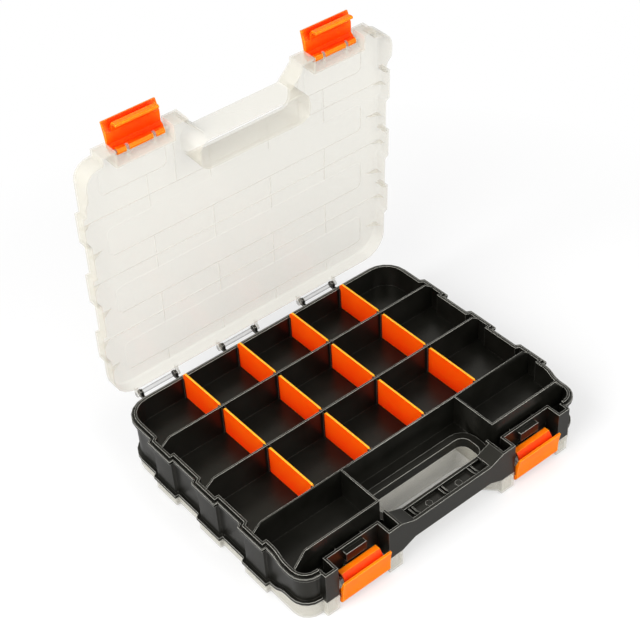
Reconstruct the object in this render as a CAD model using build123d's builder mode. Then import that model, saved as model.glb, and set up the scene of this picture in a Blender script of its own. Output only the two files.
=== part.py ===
from build123d import *
import os

# Double-sided small-parts organizer: one black tray moulding with compartments on both of its
# faces, a clear lid hinged over each face, two snap latches on each lid and loose dividers.
# X runs along the hinges, Y from the handle to the hinges, Z up. The case stands on its lower lid,
# and the origin is on the ground under the middle row wall. Lengths are in millimetres.

# Heights above and below the middle web of the tray
half_height = 34.5
web = 1.8
tip_height = 31.5
rim_height = 24.5
flange_height = 22.5
flange_thickness = 3.0
post_height = 16.0
bar_height = 10.0
hole_rim_height = 5.0
bar_rear_height = 4.0

# Plan of the tray
body_half_width = 154.0
rear_y = 124.0
corner_front_y = -123.0
front_y = -130.5
bay_y = -116.7
wall = 2.2
thin_wall = 1.6
rear_radius = 22.0
front_radius = 14.0
flange_reach = 3.0
bump_reach = 3.8
bump_length = 28.5
bump_slope = 2.5
row_pitch = 63.5
kink_x = 147.5
front_wall_y = -109.3
cell_wall_x = 64.0
front_kink_x = 140.0
dip_start_y = -83.0
dip_end_y = -103.0

# Handle
post_inner_x = 57.0
post_outer_x = 71.5
outer_post_width = 13.0
bar_half_length = 43.0
bar_rim = 3.2
hole_half_length = 55.0
hole_rear_y = -84.0
hole_front_y = -110.0
hole_radius = 9.0
hole_rim = 7.0
bar_rear_rim = 3.0
grip_rib_pitch = 33.6
grip_rib_gap = 3.6
grip_rib = 1.2

# Latches: the bay between two posts, the catch on its back wall and the snap latch
bay_width = 53.0
latch_width = 50.0
hook_width = 40.0
pin_radius = 1.6
barrel_radius = 3.3
latch_axis_y = -124.5
latch_axis_height = 24.5
barrel_half_length = 22.0
barrel_slot = 3.0
lug_x = 12.5
lug_width = 2.4
lug_radius = 2.6
catch_width = 21.0
catch_depth = 4.8
catch_bottom = 3.3
catch_top = 12.0
catch_bite = 1.2
latch_open_angle = 97.3

# Hinges
hinge_y = 133.3
hinge_height = 23.0
rod_radius = 2.0
clip_radius = 3.7
clip_width = 3.0
clip_half_span = 18.5
clip_mouth = 3.2
hinge_centres = [-112.0, -22.0, 72.0]
hinge_lug = 2.5
lid_open_angle = 87.0

# Lid
panel = 1.8
skirt = 1.4
lip_width = 1.0
lip_depth = 1.2
lid_edge = 1.6
lid_rib = 0.8
pad_half_length = 134.5
pad_front_margin = 14.0
pad_rear_margin = 20.0
pad_wall_margin = 12.3
pad_corner = 3.5

# Dividers
divider_pitch = 61.0
divider_thickness = 1.8
divider_corner = 3.0
guide_depth = 2.0
guide_rib = 1.2

# Clearances
running_gap = 0.08
seat_gap = 0.3
side_gap = 0.5
catch_gap = 0.4

# Flats that stand for a full circle, on pins, on the rings round rods and on upright corners
round_sides = 8
corner_sides = 20

# Values that follow from the sizes above
mid_z = half_height
row_walls = [row_pitch, 0.0, -row_pitch]
row_rears = [rear_y - wall, row_pitch - thin_wall / 2, -thin_wall / 2]
columns = [-1.5 * divider_pitch, -0.5 * divider_pitch, 0.5 * divider_pitch, 1.5 * divider_pitch]
bay_centre = post_outer_x + bay_width / 2
outer_post_x = post_outer_x + bay_width
front_half_width = outer_post_x + outer_post_width
far = 2 * body_half_width
divider_top = tip_height - seat_gap
rear_inner_y = rear_y - wall
dip_middle_y = (dip_start_y + dip_end_y) / 2
hinge_axis = Axis((0, hinge_y, mid_z + hinge_height), (-1, 0, 0))
latch_axis = Axis((0, latch_axis_y, mid_z + latch_axis_height), (-1, 0, 0))
turn_axis = Axis((0, 0, mid_z), (0, 1, 0))

os.makedirs("parts", exist_ok=True)


def plan_outline(grow):
    """Outline of the tray seen from above, moved outward by grow along its sides and its rear."""
    side = body_half_width + grow
    rear_corner_y = rear_y - rear_radius
    front_corner_y = corner_front_y + front_radius
    with BuildSketch() as outline:
        with Locations((0, front_corner_y)):
            Rectangle(2 * side, rear_corner_y - front_corner_y, align=(Align.CENTER, Align.MIN))
        with Locations((0, rear_y + grow)):
            Rectangle(
                2 * (body_half_width - rear_radius), half_height, align=(Align.CENTER, Align.MAX)
            )
        with Locations((0, corner_front_y - grow)):
            Rectangle(
                2 * (body_half_width - front_radius), half_height, align=(Align.CENTER, Align.MIN)
            )
        # each corner is drawn with a few flats
        for sign in (-1, 1):
            with Locations((sign * (body_half_width - rear_radius), rear_corner_y)):
                RegularPolygon(rear_radius + grow, corner_sides)
            with Locations((sign * (body_half_width - front_radius), front_corner_y)):
                RegularPolygon(front_radius + grow, corner_sides)
        # each row wall ends in the middle of a bump on the side wall
        for y in row_walls:
            low = y - bump_length / 2 - grow
            high = y + bump_length / 2 + grow
            for sign in (-1, 1):
                with BuildLine():
                    Polyline(
                        (sign * (side - bump_reach), low),
                        (sign * (side + bump_reach), low),
                        (sign * (side + bump_reach), high - bump_slope),
                        (sign * side, high),
                        (sign * (side - bump_reach), high),
                        close=True,
                    )
                make_face()
        # two latch bays in the front, with a post on each side of them
        for sign in (-1, 1):
            with Locations((sign * bay_centre, bay_y)):
                Rectangle(bay_width, far, align=(Align.CENTER, Align.MAX), mode=Mode.SUBTRACT)
            with Locations((sign * (outer_post_x + outer_post_width / 2), front_y)):
                Rectangle(outer_post_width, bay_y - front_y, align=(Align.CENTER, Align.MIN))
        with Locations((0, front_y)):
            Rectangle(2 * post_outer_x, bay_y - front_y, align=(Align.CENTER, Align.MIN))
    return outline.sketch


def hole_outline(grow):
    """Outline of the finger hole behind the handle, moved outward by grow."""
    length = 2 * (hole_half_length - hole_radius)
    depth = hole_rear_y - hole_front_y - 2 * hole_radius
    with BuildSketch() as hole:
        with Locations((0, (hole_rear_y + hole_front_y) / 2)):
            Rectangle(length, depth + 2 * (hole_radius + grow))
            Rectangle(length + 2 * (hole_radius + grow), depth)
            with GridLocations(length, depth, 2, 2):
                RegularPolygon(hole_radius + grow, corner_sides)
    return hole.sketch


def under_rim(shift):
    """All that lies below the rim line moved up by shift. The line dips towards the front."""
    high = mid_z + flange_height + shift
    low = mid_z + post_height + shift
    with BuildPart() as under:
        with BuildSketch(Plane.YZ):
            with BuildLine():
                rear = Line((far, high), (dip_start_y, high))
                first = TangentArc(rear @ 1, (dip_middle_y, (high + low) / 2), tangent=(-1, 0))
                second = TangentArc(first @ 1, (dip_end_y, low), tangent=first % 1)
                front = Line(second @ 1, (-far, low))
                Polyline(front @ 1, (-far, mid_z), (far, mid_z), rear @ 0)
            make_face()
        extrude(amount=far, both=True)
    return under.part


def ring(outer, inner):
    """Upright ring between two outlines, from the web to the height of the lid."""
    with BuildPart() as band:
        with BuildSketch(Plane.XY.offset(mid_z)):
            add(outer)
            add(inner, mode=Mode.SUBTRACT)
        extrude(amount=half_height)
    return band.part


tray_plan = plan_outline(0)
hollow_plan = offset(tray_plan, -wall, kind=Kind.INTERSECTION)
flange_plan = plan_outline(flange_reach)
groove_plan = plan_outline(flange_reach - lip_width)
skirt_plan = plan_outline(seat_gap + skirt)
hole_plan = hole_outline(0)
under_wall_rim = under_rim(rim_height - flange_height)
under_flange_top = under_rim(0)
under_flange = under_rim(-flange_thickness)
under_groove = under_rim(-lip_depth)
under_skirt = under_rim(seat_gap - lip_depth)

# The rim flange that a lid seats on: a bead round the sides and the rear, with a groove in its
# top for the edge of the lid's skirt
flange = ring(flange_plan, tray_plan) & under_flange_top
flange = flange - under_flange - (ring(groove_plan, tray_plan) - under_groove)

# The upper half of the tray, from the middle of its web
with BuildPart() as half_tray:
    with BuildSketch(Plane.XY.offset(mid_z)):
        add(tray_plan)
    extrude(amount=rim_height)
    add(under_wall_rim, mode=Mode.INTERSECT)
    # the posts and the bays between them are lower than the rim
    with Locations((0, front_wall_y, mid_z + post_height)):
        Box(
            2 * front_half_width,
            far,
            far,
            align=(Align.CENTER, Align.MAX, Align.MIN),
            mode=Mode.SUBTRACT,
        )
    # the hollow above the web
    with BuildSketch(Plane.XY.offset(mid_z + web / 2)):
        add(hollow_plan)
    extrude(amount=half_height, mode=Mode.SUBTRACT)
    # the grip between the two inner posts is lower still
    with Locations((0, front_y - wall, mid_z + bar_height)):
        Box(
            2 * post_inner_x,
            2 * wall + bar_rim,
            far,
            align=(Align.CENTER, Align.MIN, Align.MIN),
            mode=Mode.SUBTRACT,
        )
    # row walls, with both ends sloping down to the rim
    for y in row_walls:
        with BuildSketch(Plane.XZ.offset(-y)):
            with BuildLine():
                end_x = body_half_width + bump_reach - wall / 2
                Polyline(
                    (-end_x, mid_z),
                    (-end_x, mid_z + rim_height),
                    (-kink_x, mid_z + tip_height),
                    (kink_x, mid_z + tip_height),
                    (end_x, mid_z + rim_height),
                    (end_x, mid_z),
                    close=True,
                )
            make_face()
        extrude(amount=thin_wall / 2, both=True)
    # walls round the two front compartments
    for sign in (-1, 1):
        with BuildSketch(Plane.XZ.offset(-front_wall_y)):
            with BuildLine():
                end_x = body_half_width - wall / 2
                Polyline(
                    (sign * (cell_wall_x - thin_wall / 2), mid_z),
                    (sign * (cell_wall_x - thin_wall / 2), mid_z + tip_height),
                    (sign * front_kink_x, mid_z + tip_height),
                    (sign * end_x, mid_z + post_height),
                    (sign * end_x, mid_z),
                    close=True,
                )
            make_face()
        extrude(amount=thin_wall / 2, both=True)
        with Locations((sign * cell_wall_x, -row_pitch, mid_z)):
            Box(
                thin_wall,
                -row_pitch - front_wall_y,
                tip_height,
                align=(Align.CENTER, Align.MAX, Align.MIN),
            )
    # pairs of guide ribs that hold each end of the dividers
    with BuildSketch(Plane.XY.offset(mid_z)):
        for x in columns:
            for side in (-1, 1):
                rib_x = x + side * (divider_thickness / 2 + seat_gap + guide_rib / 2)
                for y in row_walls:
                    front_depth = guide_depth if y > -row_pitch else 0
                    with Locations((rib_x, y - thin_wall / 2 - front_depth)):
                        Rectangle(
                            guide_rib,
                            thin_wall + guide_depth + front_depth,
                            align=(Align.CENTER, Align.MIN),
                        )
    extrude(amount=divider_top)
    with BuildSketch(Plane.XY.offset(mid_z)):
        for x in columns:
            for side in (-1, 1):
                rib_x = x + side * (divider_thickness / 2 + seat_gap + guide_rib / 2)
                with Locations((rib_x, rear_inner_y - guide_depth)):
                    Rectangle(guide_rib, guide_depth + wall / 2, align=(Align.CENTER, Align.MIN))
    extrude(amount=rim_height - seat_gap)
    # grip: a tall front rim, a low rear rim and cross ribs between them
    with Locations((0, front_y, mid_z)):
        Box(2 * post_inner_x, bar_rim, bar_height, align=(Align.CENTER, Align.MIN, Align.MIN))
    with BuildSketch(Plane.XY.offset(mid_z)):
        add(hole_outline(hole_rim))
        with Locations((0, hole_front_y - bar_rear_rim)):
            Rectangle(far, far, align=(Align.CENTER, Align.MAX), mode=Mode.SUBTRACT)
    extrude(amount=hole_rim_height)
    for sign in (-1, 1):
        # slope from the post down to the grip
        with BuildSketch(Plane.XZ.offset(-front_y - bar_rim)):
            with BuildLine():
                Polyline(
                    (sign * (post_inner_x + wall), mid_z),
                    (sign * (post_inner_x + wall), mid_z + post_height),
                    (sign * post_inner_x, mid_z + post_height),
                    (sign * bar_half_length, mid_z + bar_height),
                    (sign * bar_half_length, mid_z),
                    close=True,
                )
            make_face()
        extrude(amount=bar_rim)
        with BuildSketch(Plane.XZ.offset(-hole_front_y + bar_rear_rim)):
            with BuildLine():
                Polyline(
                    (sign * (post_inner_x + wall), mid_z),
                    (sign * (post_inner_x + wall), mid_z + post_height),
                    (sign * post_inner_x, mid_z + post_height),
                    (sign * bar_half_length, mid_z + bar_height),
                    (sign * bar_half_length, mid_z + bar_height - wall),
                    (sign * post_inner_x, mid_z + post_height - wall),
                    (sign * post_inner_x, mid_z),
                    close=True,
                )
            make_face()
        extrude(amount=hole_front_y - bar_rear_rim - front_y)
        # the inner wall of the post runs back to the front wall
        with Locations((sign * (post_inner_x + wall / 2), front_wall_y, mid_z)):
            Box(
                wall,
                front_wall_y - hole_front_y + bar_rear_rim,
                post_height,
                align=(Align.CENTER, Align.MAX, Align.MIN),
            )
        # catch for the hook of the latch
        with Locations((sign * bay_centre, bay_y + wall / 2, mid_z + catch_bottom)):
            Box(
                catch_width,
                catch_depth + wall / 2,
                catch_top - catch_bottom,
                align=(Align.CENTER, Align.MAX, Align.MIN),
            )
        # stiffening ribs in the trough behind the bay wall
        for rib_x in (-0.25 * bay_width, 0.25 * bay_width):
            with Locations((sign * bay_centre + rib_x, front_wall_y, mid_z)):
                Box(
                    guide_rib,
                    front_wall_y - bay_y - wall / 2,
                    catch_top,
                    align=(Align.CENTER, Align.MAX, Align.MIN),
                )
    for x in (-grip_rib_pitch, 0, grip_rib_pitch):
        for side in (-1, 1):
            with BuildSketch(Plane.YZ.offset(x + side * grip_rib_gap / 2)):
                with BuildLine():
                    rear_top = (hole_front_y - bar_rear_rim / 2, mid_z + bar_rear_height)
                    front_top = (front_y + bar_rim / 2, mid_z + bar_height - bar_rim / 2)
                    low_y = (hole_front_y - bar_rear_rim + front_y + bar_rim) / 2
                    Polyline(rear_top, (low_y, mid_z + bar_rear_height), front_top)
                    Polyline(
                        front_top, (front_top[0], mid_z), (rear_top[0], mid_z), rear_top
                    )
                make_face()
            extrude(amount=grip_rib / 2, both=True)
    # round ribs beside the step at the front end of each bump
    with BuildSketch(Plane.XY.offset(mid_z)):
        for y in row_walls:
            for sign in (-1, 1):
                with Locations((sign * body_half_width, y - bump_length / 2 - thin_wall)):
                    RegularPolygon(thin_wall, round_sides // 2)
    extrude(amount=flange_height - flange_thickness)
    with BuildSketch(Plane.XY.offset(mid_z)):
        add(hole_plan)
    extrude(amount=half_height, mode=Mode.SUBTRACT)
    add(flange)

# One of the open rings that hold a hinge rod, on its arm
with BuildPart() as clip:
    with BuildSketch(Plane.YZ):
        with Locations((hinge_y, mid_z + hinge_height)):
            RegularPolygon(clip_radius, round_sides)
        with Locations((hinge_y, mid_z + hinge_height - clip_radius)):
            Rectangle(
                hinge_y - rear_y + wall / 2,
                flange_height - lip_depth - hinge_height + clip_radius,
                align=(Align.MAX, Align.MIN),
            )
        with Locations((hinge_y, mid_z + hinge_height)):
            RegularPolygon(
                rod_radius + running_gap, round_sides, major_radius=False, mode=Mode.SUBTRACT
            )
        with Locations(Location((hinge_y, mid_z + hinge_height, 0), (0, 0, 60))):
            Rectangle(
                2 * clip_radius, clip_mouth, align=(Align.MIN, Align.CENTER), mode=Mode.SUBTRACT
            )
    extrude(amount=clip_width / 2, both=True)

# The tray without its hinge clips: its two halves are mirror images
with BuildPart() as tray:
    add(half_tray.part)
    mirror(half_tray.part, about=Plane.XY.offset(mid_z))

# The moulding is handed over in flat-faced sections that meet face to face, so that the space in
# each compartment, latch bay and the finger hole stays open to whatever is put there.
side_plane = body_half_width - wall
guide_plane = rear_inner_y - guide_depth
corner_x = body_half_width - rear_radius
corner_y = rear_y - rear_radius - wall / 2
front_plane = front_wall_y + thin_wall / 2
cell_inner = cell_wall_x - thin_wall / 2
cell_outer = cell_wall_x + thin_wall / 2
guide_reach = thin_wall / 2 + guide_depth


def section(whole, x0, x1, y0, y1):
    """The part of a whole between these four upright planes."""
    with BuildPart() as piece:
        with Locations(((x0 + x1) / 2, (y0 + y1) / 2, mid_z)):
            Box(x1 - x0, y1 - y0, 2 * half_height)
        add(whole, mode=Mode.INTERSECT)
    return piece.part


def write(part, name):
    """Keep one piece under its own name."""
    part.label = name
    export_step(part, f"parts/{name}.step")


def write_pair(part, name):
    """Keep a piece of the right side, and its mirror image on the left."""
    write(part, f"{name}_right")
    write(mirror(part, about=Plane.YZ), f"{name}_left")


cell_rear = row_walls[2] - thin_wall / 2
rear_part = section(tray.part, -far, far, corner_y, far)
middle_part = section(tray.part, -side_plane, side_plane, cell_rear, corner_y)
cell_part = section(tray.part, -side_plane, side_plane, front_plane, cell_rear)
front_part = section(tray.part, -far, far, -far, front_plane)

# the clips on the two faces are in places that match the same lid turned over
with BuildPart() as rear_wall:
    add(section(rear_part, -corner_x, corner_x, guide_plane, far))
    for centre in hinge_centres:
        for side in (-1, 1):
            placed = clip.part.moved(Location((centre + side * clip_half_span, 0, 0)))
            add(placed)
            add(placed.rotate(turn_axis, 180))
write(rear_wall.part, "tray_rear_wall")
write_pair(section(rear_part, corner_x, far, corner_y, far), "tray_rear_corner")
write_pair(section(tray.part, side_plane, far, front_plane, corner_y), "tray_side_wall")
for y, name in zip(row_walls, ("rear", "middle", "front")):
    front_reach = guide_reach if y > -row_pitch else thin_wall / 2
    row = section(middle_part, -side_plane, side_plane, y - front_reach, y + guide_reach)
    write(row, f"tray_row_wall_{name}")
rear_floor = section(middle_part, -side_plane, side_plane, row_walls[0] + guide_reach, corner_y)
rear_floor = rear_floor + section(rear_part, -corner_x, corner_x, corner_y, guide_plane)
write(rear_floor, "tray_floor_rear")
for row, name in ((1, "middle"), (2, "front")):
    floor_front = row_walls[row] + guide_reach
    floor_rear = row_walls[row - 1] - guide_reach
    floor = section(middle_part, -side_plane, side_plane, floor_front, floor_rear)
    write(floor, f"tray_floor_{name}")
write_pair(section(cell_part, cell_outer, side_plane, front_plane, cell_rear), "tray_cell_floor")
write_pair(section(cell_part, cell_inner, cell_outer, front_plane, cell_rear), "tray_cell_wall")
handle = section(cell_part, -cell_inner, cell_inner, front_plane, cell_rear)
handle = handle + section(front_part, -post_outer_x, post_outer_x, -far, front_plane)
write(handle, "tray_handle")
write_pair(section(front_part, post_outer_x, outer_post_x, bay_y, front_plane), "tray_latch_bay")
write_pair(section(front_part, outer_post_x, far, -far, front_plane), "tray_front_corner")
catches = section(front_part, post_outer_x, outer_post_x, -far, bay_y).solids().sort_by(Axis.Z)
write_pair(catches[1], "tray_upper_catch")
write_pair(catches[0], "tray_lower_catch")

# Outline of a lid: that of the tray, with the front edge set back behind the handle
ear_corner_y = latch_axis_y - skirt
with BuildSketch() as lid_plan:
    add(skirt_plan)
    with BuildLine():
        Polyline(
            (-post_inner_x, front_y - skirt),
            (-post_inner_x, ear_corner_y),
            (-bar_half_length, hole_front_y - skirt),
            (bar_half_length, hole_front_y - skirt),
            (post_inner_x, ear_corner_y),
            (post_inner_x, front_y - skirt),
            close=True,
        )
    make_face(mode=Mode.SUBTRACT)

lid_hollow_plan = offset(lid_plan.sketch, -skirt, kind=Kind.INTERSECTION)

# The space that the front of the tray takes from the lid, with the seat gap on top
with BuildPart() as lid_front_space:
    with BuildSketch(Plane.XZ.offset(-front_wall_y)):
        with BuildLine():
            Polyline(
                (-front_half_width, mid_z),
                (-front_half_width, mid_z + post_height + seat_gap),
                (-post_inner_x, mid_z + post_height + seat_gap),
                (-bar_half_length, mid_z + bar_height + seat_gap),
                (bar_half_length, mid_z + bar_height + seat_gap),
                (post_inner_x, mid_z + post_height + seat_gap),
                (front_half_width, mid_z + post_height + seat_gap),
                (front_half_width, mid_z),
                close=True,
            )
        make_face()
    extrude(amount=far)

# A clear lid, closed on the upper face. It is handed over as its panel and its rim, so that the
# space inside the rim stays open. Ribs and pads stand on the underside of the panel.
panel_z = mid_z + half_height - panel
rib_z = panel_z - lid_rib
with BuildSketch() as pads:
    for row in range(len(row_walls)):
        pad_front = row_walls[row] + pad_front_margin
        pad_rear = row_rears[row] - (pad_rear_margin if row > 0 else pad_wall_margin)
        with Locations((0, (pad_front + pad_rear) / 2)):
            Rectangle(2 * pad_half_length, pad_rear - pad_front)
    for sign in (-1, 1):
        pad_front = bay_y + 2 * pad_corner
        pad_rear = -row_pitch - pad_rear_margin
        with Locations((sign * (pad_half_length + post_outer_x) / 2, (pad_front + pad_rear) / 2)):
            Rectangle(pad_half_length - post_outer_x, pad_rear - pad_front)
    chamfer(pads.vertices(), pad_corner)

with BuildPart() as lid_panel:
    with BuildSketch(Plane.XY.offset(panel_z)):
        add(lid_plan.sketch)
    extrude(amount=panel)
    chamfer(lid_panel.edges().group_by(Axis.Z)[-1], lid_edge)
    with BuildSketch(Plane.XY.offset(rib_z)):
        # sealing ribs over the row walls
        for y in row_walls:
            with Locations((0, y)):
                Rectangle(2 * far, lid_rib)
        add(pads.sketch)
        add(lid_hollow_plan, mode=Mode.INTERSECT)
        add(hole_outline(skirt), mode=Mode.SUBTRACT)
    extrude(amount=lid_rib)
    with BuildSketch(Plane.XY.offset(mid_z)):
        add(hole_plan)
    extrude(amount=half_height, mode=Mode.SUBTRACT)

with BuildPart() as lid_rim:
    with BuildSketch(Plane.XY.offset(mid_z)):
        add(lid_plan.sketch)
        add(lid_hollow_plan, mode=Mode.SUBTRACT)
    extrude(amount=half_height - panel)
    add(under_skirt, mode=Mode.SUBTRACT)
    add(lid_front_space.part, mode=Mode.SUBTRACT)
    # the wall round the finger hole reaches down to the rim of the tray's hole
    with BuildSketch(Plane.XY.offset(mid_z + hole_rim_height + seat_gap)):
        add(hole_outline(skirt))
        add(hole_plan, mode=Mode.SUBTRACT)
    extrude(amount=half_height - hole_rim_height - seat_gap - panel)
    for sign in (-1, 1):
        # gussets under the ends of the sealing ribs follow the slopes of the row walls
        skirt_foot = mid_z + rim_height + 2 * seat_gap
        skirt_x = body_half_width + bump_reach + seat_gap + skirt / 2
        for y in row_walls:
            with BuildSketch(Plane.XZ.offset(-y)):
                with BuildLine():
                    Polyline(
                        (sign * kink_x, rib_z),
                        (sign * (body_half_width + bump_reach - wall / 2), skirt_foot),
                        (sign * skirt_x, skirt_foot),
                        (sign * skirt_x, rib_z),
                        close=True,
                    )
                make_face()
            extrude(amount=lid_rib / 2, both=True)
    # pins for the two latches, each between two ears and on two lugs
    for sign in (-1, 1):
        with BuildSketch(Plane.YZ.offset(sign * bay_centre)):
            with Locations((latch_axis_y, mid_z + latch_axis_height)):
                RegularPolygon(pin_radius, round_sides)
        extrude(amount=(bay_width + skirt) / 2, both=True)
        for side in (-1, 1):
            with BuildSketch(Plane.YZ.offset(sign * bay_centre + side * lug_x)):
                with Locations((latch_axis_y, mid_z + latch_axis_height)):
                    Circle(lug_radius)
                # its web is low enough for the latch to swing over it
                with Locations((latch_axis_y, mid_z + latch_axis_height - lug_radius)):
                    Rectangle(
                        bay_y - latch_axis_y + skirt / 2,
                        lug_radius + pin_radius,
                        align=(Align.MIN, Align.MIN),
                    )
            extrude(amount=lug_width / 2, both=True)
    # hinge rods, each between two lugs on the rear skirt
    for centre in hinge_centres:
        lug_centre = clip_half_span + clip_width / 2 + side_gap + hinge_lug / 2
        with BuildSketch(Plane.YZ.offset(centre)):
            with Locations((hinge_y, mid_z + hinge_height)):
                Circle(rod_radius)
        extrude(amount=lug_centre, both=True)
        for side in (-1, 1):
            with BuildSketch(Plane.YZ.offset(centre + side * lug_centre)):
                with Locations((hinge_y, mid_z + hinge_height)):
                    RegularPolygon(rod_radius + thin_wall / 2, round_sides)
                    Rectangle(
                        hinge_y - rear_y - seat_gap - skirt / 2,
                        rod_radius + thin_wall / 2,
                        align=(Align.MAX, Align.MIN),
                    )
            extrude(amount=hinge_lug / 2, both=True)

for piece, name in ((lid_panel.part, "lid_panel"), (lid_rim.part, "lid_rim")):
    write(piece.rotate(hinge_axis, lid_open_angle), f"upper_{name}")
    write(piece.rotate(turn_axis, 180), f"lower_{name}")

# A snap latch hanging closed, with its pin at the origin: a plate with a hand lip at its foot, a
# hook behind the plate that grips under the catch, and a barrel in three lengths round the pin
plate_inner = -barrel_radius - side_gap
nose_top = catch_bottom - catch_gap - latch_axis_height
nose_tip = bay_y - catch_depth + catch_bite - latch_axis_y
nose_foot = nose_top - 2.3
with BuildPart() as latch:
    with BuildSketch(Plane.YZ):
        with BuildLine():
            Line((plate_inner, 3.2), (-5.0, 3.2))
            ThreePointArc((-5.0, 3.2), (-7.9, 0.6), (-8.6, -4.0))
            ThreePointArc((-8.6, -4.0), (-9.3, -14.0), (-10.9, -23.0))
            Polyline((-10.9, -23.0), (-8.9, -23.4), (-7.0, -17.5), (-5.5, -14.0))
            Polyline((-5.5, -14.0), (-6.4, -4.0), (plate_inner, -1.5), (plate_inner, 3.2))
        make_face()
    extrude(amount=latch_width / 2, both=True)
    with BuildSketch(Plane.YZ):
        with BuildLine():
            Polyline(
                (-7.0, -17.5),
                (-1.5, nose_foot),
                (nose_tip - 1.0, nose_foot),
                (nose_tip, nose_foot + 0.8),
                (nose_tip, nose_top),
                (-1.5, nose_top),
                (-5.5, -14.0),
                close=True,
            )
        make_face()
    extrude(amount=hook_width / 2, both=True)
    with BuildSketch(Plane.YZ):
        RegularPolygon(barrel_radius, round_sides)
        Rectangle(-plate_inner + side_gap, barrel_radius, align=(Align.MAX, Align.MIN))
        Rectangle(-plate_inner + side_gap, barrel_radius / 2, align=(Align.MAX, Align.MAX))
    extrude(amount=barrel_half_length, both=True)
    with BuildSketch(Plane.YZ):
        RegularPolygon(pin_radius + running_gap, round_sides, major_radius=False)
    extrude(amount=barrel_half_length, both=True, mode=Mode.SUBTRACT)
    with Locations((-lug_x, -barrel_radius, 0), (lug_x, -barrel_radius, 0)):
        Box(
            barrel_slot,
            3 * barrel_radius,
            3 * barrel_radius,
            align=(Align.CENTER, Align.MIN, Align.CENTER),
            mode=Mode.SUBTRACT,
        )

# The latches of the open upper lid are swung out, those of the lower lid are shut
for sign, name in ((-1, "left"), (1, "right")):
    shut = latch.part.moved(
        Location((sign * bay_centre, latch_axis_y, mid_z + latch_axis_height))
    )
    upper_latch = shut.rotate(latch_axis, latch_open_angle).rotate(hinge_axis, lid_open_angle)
    write(upper_latch, f"upper_latch_{name}")
    lower_latch = shut.moved(Location((-2 * sign * bay_centre, 0, 0))).rotate(turn_axis, 180)
    write(lower_latch, f"lower_latch_{name}")

# Dividers: thin plates that stand between the guide ribs, four in each of the three long rows
for row in range(len(row_walls)):
    front_end = row_walls[row] + thin_wall / 2 + seat_gap
    rear_end = row_rears[row] - seat_gap
    foot = mid_z + web / 2 + seat_gap
    with BuildPart() as divider:
        with BuildSketch(Plane.YZ):
            with Locations((front_end, foot)):
                Rectangle(
                    rear_end - front_end,
                    mid_z + divider_top - foot,
                    align=(Align.MIN, Align.MIN),
                )
        extrude(amount=divider_thickness / 2, both=True)
        chamfer(
            divider.edges().filter_by(Axis.X).group_by(Axis.Z)[-1], divider_corner
        )
    for column in range(len(columns)):
        name = f"divider_{row + 1}{column + 1}"
        upper_divider = divider.part.moved(Location((columns[column], 0, 0)))
        write(upper_divider, f"upper_{name}")
        write(upper_divider.rotate(turn_axis, 180), f"lower_{name}")
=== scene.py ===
import math

import bmesh
import bpy
from mathutils import Matrix, Vector


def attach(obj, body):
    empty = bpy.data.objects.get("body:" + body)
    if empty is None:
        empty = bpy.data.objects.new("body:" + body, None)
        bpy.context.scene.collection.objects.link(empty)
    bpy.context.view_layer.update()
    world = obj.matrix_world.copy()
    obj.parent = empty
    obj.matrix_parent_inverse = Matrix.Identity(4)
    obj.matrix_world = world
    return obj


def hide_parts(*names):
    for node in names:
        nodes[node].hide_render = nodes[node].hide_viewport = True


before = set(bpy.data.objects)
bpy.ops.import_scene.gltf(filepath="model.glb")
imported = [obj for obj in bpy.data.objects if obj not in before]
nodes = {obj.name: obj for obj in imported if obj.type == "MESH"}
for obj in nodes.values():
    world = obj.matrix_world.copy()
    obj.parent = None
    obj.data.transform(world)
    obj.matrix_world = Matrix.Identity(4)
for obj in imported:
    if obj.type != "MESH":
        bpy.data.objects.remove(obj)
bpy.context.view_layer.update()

# Tray. The real one is a single black injection moulding, with a fine satin grain from its mould
# and a little dust; its edges get a painted highlight. The frame has it in sections that meet face
# to face, and they are joined here, so that no seam shows and its flats round the corners are
# smooth.


def worked(tree, operation, *values):
    """The result of a sum whose values are outputs of other nodes or plain numbers."""
    step = tree.nodes.new("ShaderNodeMath")
    step.operation = operation
    for socket, value in zip(step.inputs, values):
        if isinstance(value, float):
            socket.default_value = value
        else:
            tree.links.new(value, socket)
    return step.outputs[0]


def fade(tree, value, start, end, low=0.0, high=1.0):
    """A mask that goes evenly from low to high while a value goes from start to end."""
    step = tree.nodes.new("ShaderNodeMapRange")
    for name, number in (("From Min", start), ("From Max", end), ("To Min", low), ("To Max", high)):
        step.inputs[name].default_value = number
    tree.links.new(value, step.inputs["Value"])
    return step.outputs["Result"]


def openness(tree, samples, distance):
    """How far a spot lies open, from 0 deep in a hollow to 1 on a free face."""
    around_it = tree.nodes.new("ShaderNodeAmbientOcclusion")
    around_it.samples = samples
    around_it.only_local = True
    around_it.inputs["Distance"].default_value = distance
    return around_it.outputs["AO"]


mould_finish = bpy.data.node_groups.new("mould_finish", "ShaderNodeTree")
for name, value in (
    ("Grain Scale", 900.0), ("Roughness", 0.4), ("Roughness Spread", 0.1), ("Depth", 0.1),
    ("Edge", 0.0004), ("Upright Edges", 1.0),
):
    setting = mould_finish.interface.new_socket(
        name=name, in_out="INPUT", socket_type="NodeSocketFloat"
    )
    setting.default_value = value
for name in ("Roughness", "Edge Mask", "Blotches", "Lying"):
    mould_finish.interface.new_socket(name=name, in_out="OUTPUT", socket_type="NodeSocketFloat")
mould_finish.interface.new_socket(name="Normal", in_out="OUTPUT", socket_type="NodeSocketVector")
inside = mould_finish.nodes.new("NodeGroupInput")
place = mould_finish.nodes.new("ShaderNodeTexCoord")

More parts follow.
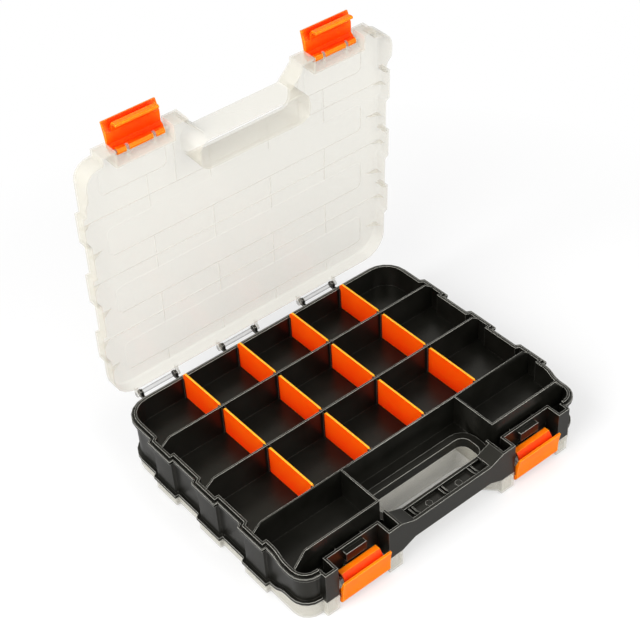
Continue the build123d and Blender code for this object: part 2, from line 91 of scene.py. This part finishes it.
# the grain, and broad blotches that change the colour and the shine
grain = mould_finish.nodes.new("ShaderNodeTexNoise")
grain.inputs["Detail"].default_value = 3.0
mould_finish.links.new(place.outputs["Object"], grain.inputs["Vector"])
mould_finish.links.new(inside.outputs["Grain Scale"], grain.inputs["Scale"])
blotches = mould_finish.nodes.new("ShaderNodeTexNoise")
blotches.inputs["Scale"].default_value = 45.0
blotches.inputs["Detail"].default_value = 2.0
mould_finish.links.new(place.outputs["Object"], blotches.inputs["Vector"])
either_way = worked(mould_finish, "SUBTRACT", blotches.outputs["Fac"], 0.5)
uneven_shine = worked(
    mould_finish, "MULTIPLY_ADD",
    either_way, inside.outputs["Roughness Spread"], inside.outputs["Roughness"],
)

# an edge is where the rounded face turns away from the flat one, out in the open
rounded = mould_finish.nodes.new("ShaderNodeBevel")
rounded.samples = 6
mould_finish.links.new(inside.outputs["Edge"], rounded.inputs["Radius"])
flat = mould_finish.nodes.new("ShaderNodeNewGeometry")
agreement = mould_finish.nodes.new("ShaderNodeVectorMath")
agreement.operation = "DOT_PRODUCT"
mould_finish.links.new(rounded.outputs["Normal"], agreement.inputs[0])
mould_finish.links.new(flat.outputs["Normal"], agreement.inputs[1])
edge = fade(mould_finish, agreement.outputs["Value"], start=0.998, end=0.92)
near_open = openness(mould_finish, samples=4, distance=0.0015)
free = fade(mould_finish, near_open, start=0.80, end=0.97)
outer_edge = worked(mould_finish, "MULTIPLY", edge, free)

# a painted highlight on the edges, strong where an edge lies flat, weak on an upright one
own_axes = mould_finish.nodes.new("ShaderNodeVectorTransform")
own_axes.vector_type = "NORMAL"
own_axes.convert_from = "WORLD"
own_axes.convert_to = "OBJECT"
mould_finish.links.new(rounded.outputs["Normal"], own_axes.inputs["Vector"])
own_normal = mould_finish.nodes.new("ShaderNodeSeparateXYZ")
mould_finish.links.new(own_axes.outputs["Vector"], own_normal.inputs["Vector"])
lying = worked(mould_finish, "ABSOLUTE", own_normal.outputs["Z"])
highlight_by_lie = fade(mould_finish, lying, start=0.15, end=0.60)
mould_finish.links.new(inside.outputs["Upright Edges"], highlight_by_lie.node.inputs["To Min"])
painted_edge_highlight = worked(mould_finish, "MULTIPLY", outer_edge, highlight_by_lie)

relief = mould_finish.nodes.new("ShaderNodeBump")
relief.inputs["Distance"].default_value = 0.0002
mould_finish.links.new(rounded.outputs["Normal"], relief.inputs["Normal"])
mould_finish.links.new(grain.outputs["Fac"], relief.inputs["Height"])
mould_finish.links.new(inside.outputs["Depth"], relief.inputs["Strength"])
outside = mould_finish.nodes.new("NodeGroupOutput")
for result, name in (
    (uneven_shine, "Roughness"), (painted_edge_highlight, "Edge Mask"), (blotches.outputs["Fac"], "Blotches"),
    (lying, "Lying"), (relief.outputs["Normal"], "Normal"),
):
    mould_finish.links.new(result, outside.inputs[name])


def tint(tree, mask, colour):
    """Lay a colour over a plastic's own, as strongly as a mask says."""
    mix = tree.nodes.new("ShaderNodeMix")
    mix.data_type = "RGBA"
    below, above = [socket for socket in mix.inputs if socket.type == "RGBA"]
    above.default_value = (*colour, 1.0)
    base = tree.nodes["Principled BSDF"].inputs["Base Color"]
    tree.links.new(base.links[0].from_socket, below)
    tree.links.new(mask, mix.inputs["Factor"])
    tree.links.new([socket for socket in mix.outputs if socket.type == "RGBA"][0], base)


def moulded_plastic(
    name, face_colours, edge_highlight_colour, edge_width, roughness, roughness_spread, shader_values,
    grain_scale=None, grain_depth=None, upright_edge_highlight=1.0,
):
    """A plastic with blotches between two colours, a painted highlight on its edges, and a mould's
    grain.
    """
    material = bpy.data.materials.new(name)
    material.use_nodes = True
    tree = material.node_tree
    shader = tree.nodes["Principled BSDF"]
    for socket, value in shader_values.items():
        shader.inputs[socket].default_value = value
    finish = tree.nodes.new("ShaderNodeGroup")
    finish.name = "finish"
    finish.node_tree = mould_finish
    finish.inputs["Roughness"].default_value = roughness
    finish.inputs["Roughness Spread"].default_value = roughness_spread
    finish.inputs["Edge"].default_value = edge_width
    finish.inputs["Upright Edges"].default_value = upright_edge_highlight
    faces = tree.nodes.new("ShaderNodeValToRGB")
    for element, position, colour in zip(faces.color_ramp.elements, (0.35, 0.65), face_colours):
        element.position = position
        element.color = (*colour, 1.0)
    tree.links.new(finish.outputs["Blotches"], faces.inputs["Fac"])
    tree.links.new(faces.outputs["Color"], shader.inputs["Base Color"])
    tint(tree, finish.outputs["Edge Mask"], edge_highlight_colour)
    tree.links.new(finish.outputs["Roughness"], shader.inputs["Roughness"])
    if grain_scale:
        finish.inputs["Grain Scale"].default_value = grain_scale
        finish.inputs["Depth"].default_value = grain_depth
        tree.links.new(finish.outputs["Normal"], shader.inputs["Normal"])
    return material


def welded(node):
    """A copy of a node's mesh with its doubled corners joined."""
    shape = bmesh.new()
    shape.from_mesh(nodes[node].data)
    bmesh.ops.remove_doubles(shape, verts=shape.verts, dist=0.000002)
    mesh = bpy.data.meshes.new(node + "_welded")
    shape.to_mesh(mesh)
    shape.free()
    piece = bpy.data.objects.new(node + "_welded", mesh)
    bpy.context.scene.collection.objects.link(piece)
    return piece


def prism(name, outline, through):
    """A small solid of a moulding, from its outline on one side and the way through it."""
    shape = bmesh.new()
    near = [shape.verts.new(point) for point in outline]
    far = [shape.verts.new(Vector(point) + Vector(through)) for point in outline]
    shape.faces.new(near)
    shape.faces.new(list(reversed(far)))
    for index in range(len(outline)):
        after = (index + 1) % len(outline)
        shape.faces.new((near[index], far[index], far[after], near[after]))
    bmesh.ops.recalc_face_normals(shape, faces=shape.faces)
    mesh = bpy.data.meshes.new(name)
    shape.to_mesh(mesh)
    shape.free()
    piece = bpy.data.objects.new(name, mesh)
    bpy.context.scene.collection.objects.link(piece)
    return piece


def one_moulding(name, parts):
    """Pieces that touch or overlap, joined into one seamless mesh."""
    rest = bpy.data.collections.new(name + "_sections")
    for part in parts[1:]:
        rest.objects.link(part)
    join = parts[0].modifiers.new("join", "BOOLEAN")
    join.operation = "UNION"
    join.solver = "EXACT"
    join.operand_type = "COLLECTION"
    join.collection = rest
    graph = bpy.context.evaluated_depsgraph_get()
    mesh = bpy.data.meshes.new_from_object(parts[0].evaluated_get(graph))
    for part in parts:
        bpy.data.objects.remove(part)
    bpy.data.collections.remove(rest)
    mesh.name = name
    # slivers and the lines that cross flat faces go
    sliver = 0.000004
    flat_enough = math.radians(0.6)
    shape = bmesh.new()
    shape.from_mesh(mesh)
    bmesh.ops.remove_doubles(shape, verts=shape.verts, dist=sliver)
    bmesh.ops.dissolve_degenerate(shape, edges=shape.edges, dist=sliver)
    bmesh.ops.dissolve_limit(
        shape, verts=shape.verts, edges=shape.edges, angle_limit=flat_enough
    )
    shape.to_mesh(mesh)
    shape.free()
    return mesh


def cover(mesh, material):
    """Give every face of a mesh one material."""
    mesh.materials.clear()
    mesh.materials.append(material)
    for face in mesh.polygons:
        face.material_index = 0


def smooth_moulding(name, mesh, material):
    """A moulding with round corners smooth and flat faces flat."""
    cover(mesh, material)
    mesh.shade_smooth()
    mesh.set_sharp_from_angle(angle=math.radians(28))
    piece = bpy.data.objects.new(name, mesh)
    bpy.context.scene.collection.objects.link(piece)
    flats = piece.modifiers.new("flats", "WEIGHTED_NORMAL")
    flats.keep_sharp = True
    flats.weight = 90
    return piece


# the pale edge colour is a painted highlight, much weaker on upright edges
tray_plastic = moulded_plastic(
    "tray_plastic",
    face_colours=((0.0032, 0.0031, 0.0023), (0.0058, 0.0056, 0.0044)),
    edge_highlight_colour=(0.60, 0.59, 0.53), edge_width=0.0006, upright_edge_highlight=0.12,
    roughness=0.31, roughness_spread=0.14, grain_scale=1400.0, grain_depth=0.25,
    shader_values={
        "IOR": 1.48, "Specular IOR Level": 0.37, "Specular Tint": (1.0, 0.965, 0.85, 1.0),
    },
)
# two round marks that the mould's ejector pins leave on the floor of the handle's channel
mark_radius = 0.0032
mark_row = -0.1186
mark_foot = 0.0351
mark_height = 0.0006
ejector_marks = []
for x in (-0.0168, 0.0168):
    circle = []
    for degrees in range(0, 360, 15):
        turn = math.radians(degrees)
        point = (x + mark_radius * math.cos(turn), mark_row + mark_radius * math.sin(turn))
        circle.append((*point, mark_foot))
    ejector_marks.append(prism("ejector_mark", circle, (0, 0, mark_height)))
tray_sections = sorted(node for node in nodes if node.startswith("tray"))
tray_parts = [welded(section) for section in tray_sections] + ejector_marks
tray = smooth_moulding("tray_moulding", one_moulding("tray_moulding", tray_parts), tray_plastic)
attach(tray, "tray")
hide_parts(*tray_sections)

# Dividers. Thin orange plates, moulded one by one and pushed down between the guide ribs. Their
# plastic is a little translucent. Their edges and whatever lies flat get a painted glow, and a
# painted shade darkens them towards the foot.
web_middle = 0.0345
hinge_rear = 0.1333
hinge_off_web = 0.0230
case_place = bpy.data.node_groups.new("case_place", "ShaderNodeTree")
for name in ("Height", "From Hinge"):
    case_place.interface.new_socket(name=name, in_out="OUTPUT", socket_type="NodeSocketFloat")
own_place = case_place.nodes.new("ShaderNodeTexCoord")
own_split = case_place.nodes.new("ShaderNodeSeparateXYZ")
case_place.links.new(own_place.outputs["Object"], own_split.inputs["Vector"])
over_web = worked(case_place, "SUBTRACT", own_split.outputs["Z"], web_middle)
off_web = worked(case_place, "ABSOLUTE", over_web)
across = case_place.nodes.new("ShaderNodeCombineXYZ")
case_place.links.new(own_split.outputs["Y"], across.inputs["Y"])
case_place.links.new(off_web, across.inputs["Z"])
from_hinge = case_place.nodes.new("ShaderNodeVectorMath")
from_hinge.operation = "DISTANCE"
from_hinge.inputs[1].default_value = (0.0, hinge_rear, hinge_off_web)
case_place.links.new(across.outputs["Vector"], from_hinge.inputs[0])
place_out = case_place.nodes.new("NodeGroupOutput")
case_place.links.new(off_web, place_out.inputs["Height"])
case_place.links.new(from_hinge.outputs["Value"], place_out.inputs["From Hinge"])
divider_plastic = moulded_plastic(
    "divider_plastic",
    face_colours=((1.0, 0.078, 0.0005), (1.0, 0.092, 0.001)),
    edge_highlight_colour=(1.0, 0.50, 0.05), edge_width=0.0009,
    roughness=0.42, roughness_spread=0.1, grain_scale=1100.0, grain_depth=0.12,
    shader_values={
        "Subsurface Weight": 0.5, "Subsurface Radius": (1.0, 0.22, 0.02),
        "Subsurface Scale": 0.004, "Specular IOR Level": 0.12,
    },
)
divider_tree = divider_plastic.node_tree
divider_place = divider_tree.nodes.new("ShaderNodeGroup")
divider_place.node_tree = case_place
# painted shade: darker and redder towards the foot of each divider
painted_shade_to_foot = fade(divider_tree, divider_place.outputs["Height"], start=0.024, end=0.002, high=0.85)
tint(divider_tree, painted_shade_to_foot, (0.90, 0.024, 0.0))
# painted glow: paler and yellower where a face or edge lies flat
divider_lying = divider_tree.nodes["finish"].outputs["Lying"]
painted_glow = fade(divider_tree, divider_lying, start=0.25, end=0.80)
tint(divider_tree, painted_glow, (1.0, 0.42, 0.030))
for node in nodes:
    if "divider" in node:
        cover(nodes[node].data, divider_plastic)

# Latches. Orange snap latches, moulded in the same plastic with a smoother face, clipped on pins of
# the lids. Their edges get a painted highlight, and a painted shade makes their hollows darker and
# redder.
latch_plastic = moulded_plastic(
    "latch_plastic",
    face_colours=((1.0, 0.175, 0.002), (1.0, 0.20, 0.003)),
    edge_highlight_colour=(1.0, 0.45, 0.05), edge_width=0.0006,
    roughness=0.40, roughness_spread=0.08, grain_scale=900.0, grain_depth=0.06,
    shader_values={
        "Subsurface Weight": 0.4, "Subsurface Radius": (1.0, 0.22, 0.02),
        "Subsurface Scale": 0.003, "Specular IOR Level": 0.08,
    },
)
latch_tree = latch_plastic.node_tree
# painted shade: darker and redder where a spot is closed in
latch_open = openness(latch_tree, samples=6, distance=0.020)
painted_hollow_shade = fade(latch_tree, latch_open, start=0.82, end=0.985, low=0.88, high=0.0)
tint(latch_tree, painted_hollow_shade, (0.84, 0.026, 0.0))
for node in nodes:
    if "latch_" in node and not node.startswith("tray"):
        cover(nodes[node].data, latch_plastic)

# Lids. Each is one clear, slightly milky moulding, a flat panel with a rim. Low ribs run over its
# inner face in line with the dividers, and small gussets stiffen its sides. Its edges get a painted
# highlight, and its hinge rods, thicker than the rest, are made less clear and get a painted grey
# shade.
lid_plastic = moulded_plastic(
    "lid_plastic",
    face_colours=((0.705, 0.677, 0.578), (0.715, 0.687, 0.588)),
    edge_highlight_colour=(0.90, 0.885, 0.82), edge_width=0.0005,
    roughness=0.24, roughness_spread=0.08, shader_values={"IOR": 1.49},
)
lid_tree = lid_plastic.node_tree
edge_on = lid_tree.nodes.new("ShaderNodeLayerWeight")
edge_on.inputs["Blend"].default_value = 0.25
facing = edge_on.outputs["Facing"]
milk = fade(lid_tree, facing, start=0.0, end=1.0, low=0.25, high=0.58)
rod_milk = fade(lid_tree, facing, start=0.10, end=0.60, low=0.16, high=0.92)
lid_place = lid_tree.nodes.new("ShaderNodeGroup")
lid_place.node_tree = case_place
# the hinge rods are made less clear and get a painted grey shade
rod = fade(lid_tree, lid_place.outputs["From Hinge"], start=0.0027, end=0.0023)
tint(lid_tree, rod, (0.16, 0.155, 0.145))
clearness = lid_tree.nodes.new("ShaderNodeMix")
clearness.data_type = "FLOAT"
lid_tree.links.new(rod, clearness.inputs["Factor"])
lid_tree.links.new(milk, clearness.inputs["A"])
lid_tree.links.new(rod_milk, clearness.inputs["B"])
lid_tree.links.new(
    clearness.outputs["Result"], lid_tree.nodes["Principled BSDF"].inputs["Alpha"]
)

panel_inside = 0.0018
trim_foot = panel_inside - 0.0003
rib_top = 0.0026
rib_half = 0.0004
finger_hole_half = 0.06
cell_wall = 0.0640
rib_runs = []
for x in (-0.0915, -0.0305, 0.0305, 0.0915):
    # the ribs of the front row stop short of the finger hole
    front = -0.0837 if abs(x) > finger_hole_half else -0.0780
    for start, end in ((0.1090, 0.1225), (0.0433, 0.0777), (-0.0202, 0.0142), (front, -0.0493)):
        rib_runs.append((x, start, end))
for x in (-cell_wall, cell_wall):
    rib_runs.append((x, -0.1060, -0.0640))
trim = []
for index, (x, start, end) in enumerate(rib_runs):
    outline = [
        (x - rib_half, start, trim_foot), (x + rib_half, start, trim_foot),
        (x + rib_half, start, rib_top), (x - rib_half, start, rib_top),
    ]
    trim.append(prism("rib_" + str(index), outline, (0, end - start, 0)))
lid_side = 0.1545
gusset_top = 0.0094
gusset_tip = 0.0012
gusset_reach = 0.0130
gusset_half = 0.0004
for index, y in enumerate((0.09525, 0.03175, -0.03175)):
    for sign in (-1, 1):
        side = sign * lid_side
        near = y - gusset_half
        outline = [
            (side, near, trim_foot), (side, near, gusset_top),
            (side - sign * gusset_tip, near, gusset_top),
            (side - sign * gusset_reach, near, rib_top),
            (side - sign * gusset_reach, near, trim_foot),
        ]
        name = "gusset_" + str(index) + str(sign + 1)
        trim.append(prism(name, outline, (0, 2 * gusset_half, 0)))
lid_parts = [welded("lower_lid_panel"), welded("lower_lid_rim")] + trim
lower_mesh = one_moulding("lower_lid_moulding", lid_parts)


def turned(degrees, axis, centre):
    """A turn about a line through a point."""
    turn = Matrix.Rotation(math.radians(degrees), 4, axis)
    return Matrix.Translation(centre) @ turn @ Matrix.Translation(-centre)


# the upper lid is the lower one turned over, then opened as far as in the photograph
over = turned(180, "Y", Vector((0, 0, web_middle)))
opened = turned(-87, "X", Vector((0, hinge_rear, web_middle + hinge_off_web)))
upper_mesh = lower_mesh.copy()
upper_mesh.transform(opened @ over)
for lid, mesh in (("lower_lid", lower_mesh), ("upper_lid", upper_mesh)):
    moulding = smooth_moulding(lid + "_moulding", mesh, lid_plastic)
    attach(moulding, lid)
    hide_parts(lid + "_panel", lid + "_rim")

# Table. A plain white sheet under the case. It keeps the case's shadow, and past the shadow it
# fades to an even white.
reach = 4
just_below = -0.0002
corners = [(-reach, -reach, 0), (reach, -reach, 0), (reach, reach, 0), (-reach, reach, 0)]
table_mesh = bpy.data.meshes.new("table")
table_mesh.from_pydata(corners, [], [(0, 1, 2, 3)])
table = bpy.data.objects.new("table", table_mesh)
bpy.context.scene.collection.objects.link(table)
table.location.z = just_below
white = (1.0, 1.0, 1.0, 1.0)
white_sheet = bpy.data.materials.new("white_sheet")
white_sheet.use_nodes = True
sheet_tree = white_sheet.node_tree
sheet_shader = sheet_tree.nodes["Principled BSDF"]
sheet_shader.inputs["Base Color"].default_value = (0.50, 0.50, 0.50, 1.0)
sheet_shader.inputs["Roughness"].default_value = 0.6
sheet_shader.inputs["Emission Color"].default_value = white
backdrop = sheet_tree.nodes.new("ShaderNodeEmission")
backdrop.inputs["Color"].default_value = white
backdrop.inputs["Strength"].default_value = 1.0
view = sheet_tree.nodes.new("ShaderNodeLightPath")
seen = worked(
    sheet_tree, "MAXIMUM", view.outputs["Is Camera Ray"], view.outputs["Is Transmission Ray"]
)
lift = worked(sheet_tree, "MULTIPLY", seen, 0.41)
sheet_tree.links.new(lift, sheet_shader.inputs["Emission Strength"])
sheet_place = sheet_tree.nodes.new("ShaderNodeTexCoord")
far_off = sheet_tree.nodes.new("ShaderNodeVectorMath")
far_off.operation = "LENGTH"
sheet_tree.links.new(sheet_place.outputs["Object"], far_off.inputs[0])
past_shadow = fade(sheet_tree, far_off.outputs["Value"], start=0.30, end=0.58)
either = sheet_tree.nodes.new("ShaderNodeMixShader")
sheet_tree.links.new(worked(sheet_tree, "MULTIPLY", seen, past_shadow), either.inputs["Fac"])
sheet_tree.links.new(sheet_shader.outputs["BSDF"], either.inputs[1])
sheet_tree.links.new(backdrop.outputs["Emission"], either.inputs[2])
sheet_tree.links.new(
    either.outputs["Shader"], sheet_tree.nodes["Material Output"].inputs["Surface"]
)
table_mesh.materials.append(white_sheet)

# Studio light. A broad soft lamp stands on the left and another in front. The surround shows as
# plain white, also in shiny and clear faces, and lights the case at half that strength.
surround = bpy.data.worlds.new("surround")
surround.use_nodes = True
bpy.context.scene.world = surround
around = surround.node_tree
sky = around.nodes["Background"]
sky.inputs["Color"].default_value = white
ray = around.nodes.new("ShaderNodeLightPath")
seen_or_mirrored = worked(
    around, "MAXIMUM", ray.outputs["Is Camera Ray"], ray.outputs["Is Glossy Ray"]
)
shown = worked(around, "MAXIMUM", seen_or_mirrored, ray.outputs["Is Transmission Ray"])
level = fade(around, shown, start=0.0, end=1.0, low=0.5, high=1.0)
around.links.new(level, sky.inputs["Strength"])


def softbox(name, stand, target, size, power):
    """A square lamp that faces a point."""
    lamp = bpy.data.lights.new(name, "AREA")
    lamp.shape = "SQUARE"
    lamp.size = size
    lamp.energy = power
    holder = bpy.data.objects.new(name, lamp)
    holder.location = stand
    aim = Vector(target) - Vector(stand)
    holder.rotation_mode = "QUATERNION"
    holder.rotation_quaternion = aim.to_track_quat("-Z", "Y")
    bpy.context.scene.collection.objects.link(holder)


softbox("left_lamp", stand=(-1.33, -0.20, 1.10), target=(0, 0, 0.05), size=1.2, power=30.0)
softbox("front_lamp", stand=(0.35, -1.50, 0.95), target=(0, 0, 0.1), size=1.2, power=21.0)

# Camera. It stands where the photograph was taken from, as fitted to the case's row walls, rim
# and handle.
frame_pixels = 640.0
focal_pixels = 1403.54
sensor_width = 36.0
eye = Vector((-0.54795, -0.68731, 0.91177))
ahead = Vector((0.45685, 0.60299, -0.65398)).normalized()
upward = Vector((0.44691, 0.48008, 0.75485)).normalized()
sideways = ahead.cross(upward).normalized()
upward = sideways.cross(ahead).normalized()
lens = bpy.data.cameras.new("camera")
lens.sensor_width = sensor_width
lens.lens = sensor_width * focal_pixels / frame_pixels
camera = bpy.data.objects.new("camera", lens)
camera.matrix_world = Matrix((
    (sideways.x, upward.x, -ahead.x, eye.x),
    (sideways.y, upward.y, -ahead.y, eye.y),
    (sideways.z, upward.z, -ahead.z, eye.z),
    (0, 0, 0, 1),
))
bpy.context.scene.collection.objects.link(camera)
bpy.context.scene.camera = camera
bpy.context.scene.view_settings.view_transform = "Standard"
